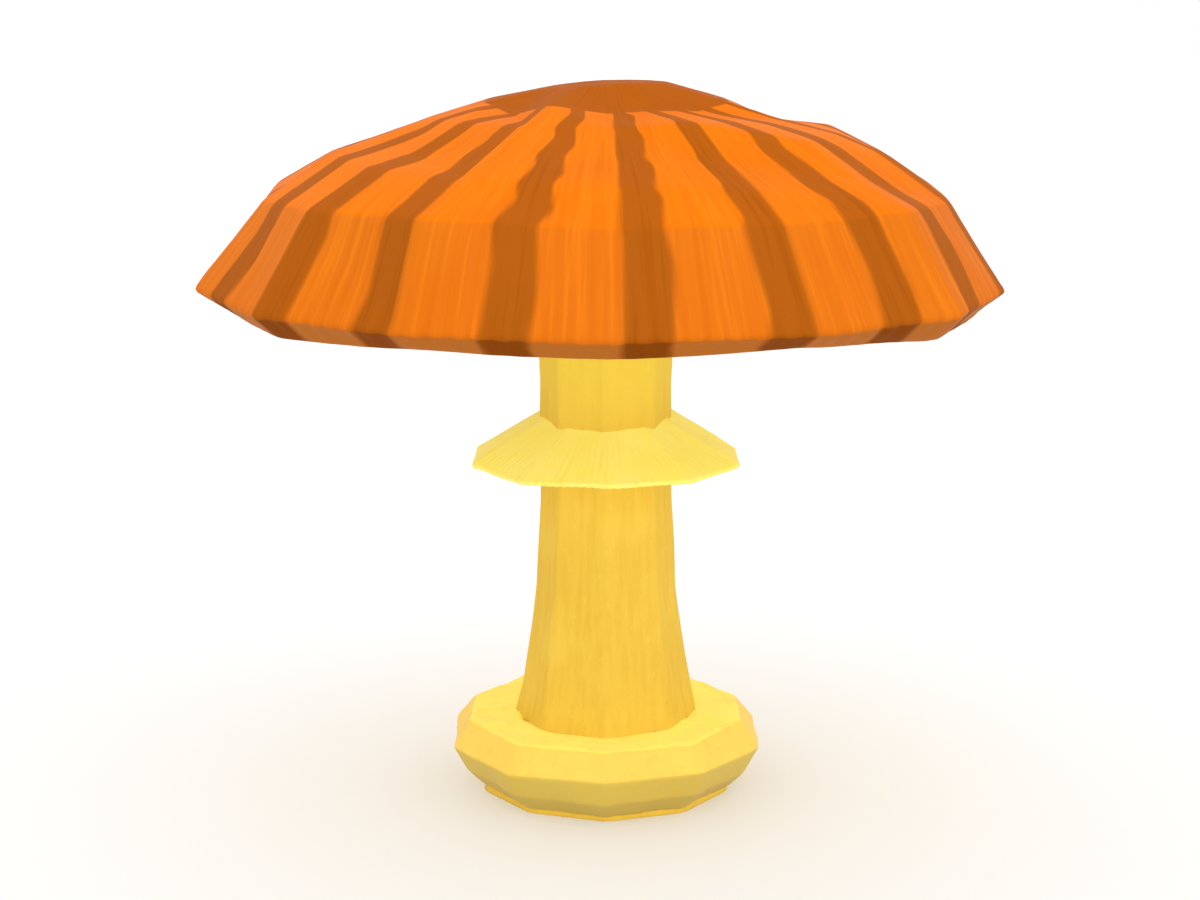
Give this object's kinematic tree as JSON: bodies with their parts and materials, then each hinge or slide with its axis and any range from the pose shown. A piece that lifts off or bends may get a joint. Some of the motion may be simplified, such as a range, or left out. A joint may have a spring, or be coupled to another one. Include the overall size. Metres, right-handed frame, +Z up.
{
  "type": "caesars mushroom",
  "caption": "Picked gilled mushroom with a broad banded cap, a skirt-like ring on its stem and a collar at its foot, standing upright on the flat cut foot.",
  "frame": {"origin": "middle of the foot's flat cut underside, which is what the mushroom stands on", "axes": "+Z up along the stem, towards the cap; the front faces -Y, and +X is to its right"},
  "size_m": [0.1367, 0.14, 0.1245],
  "materials": {
    "cap_skin": "satin",
    "gill_flesh": "matte",
    "stem_flesh": "matte",
    "ring_veil": "matte",
    "volva_veil": "matte"
  },
  "bodies": {
    "root": {"cap": "cap_skin", "gills": "gill_flesh", "stem": "stem_flesh", "ring": "ring_veil", "volva": "volva_veil"}
  },
  "joints": []
}
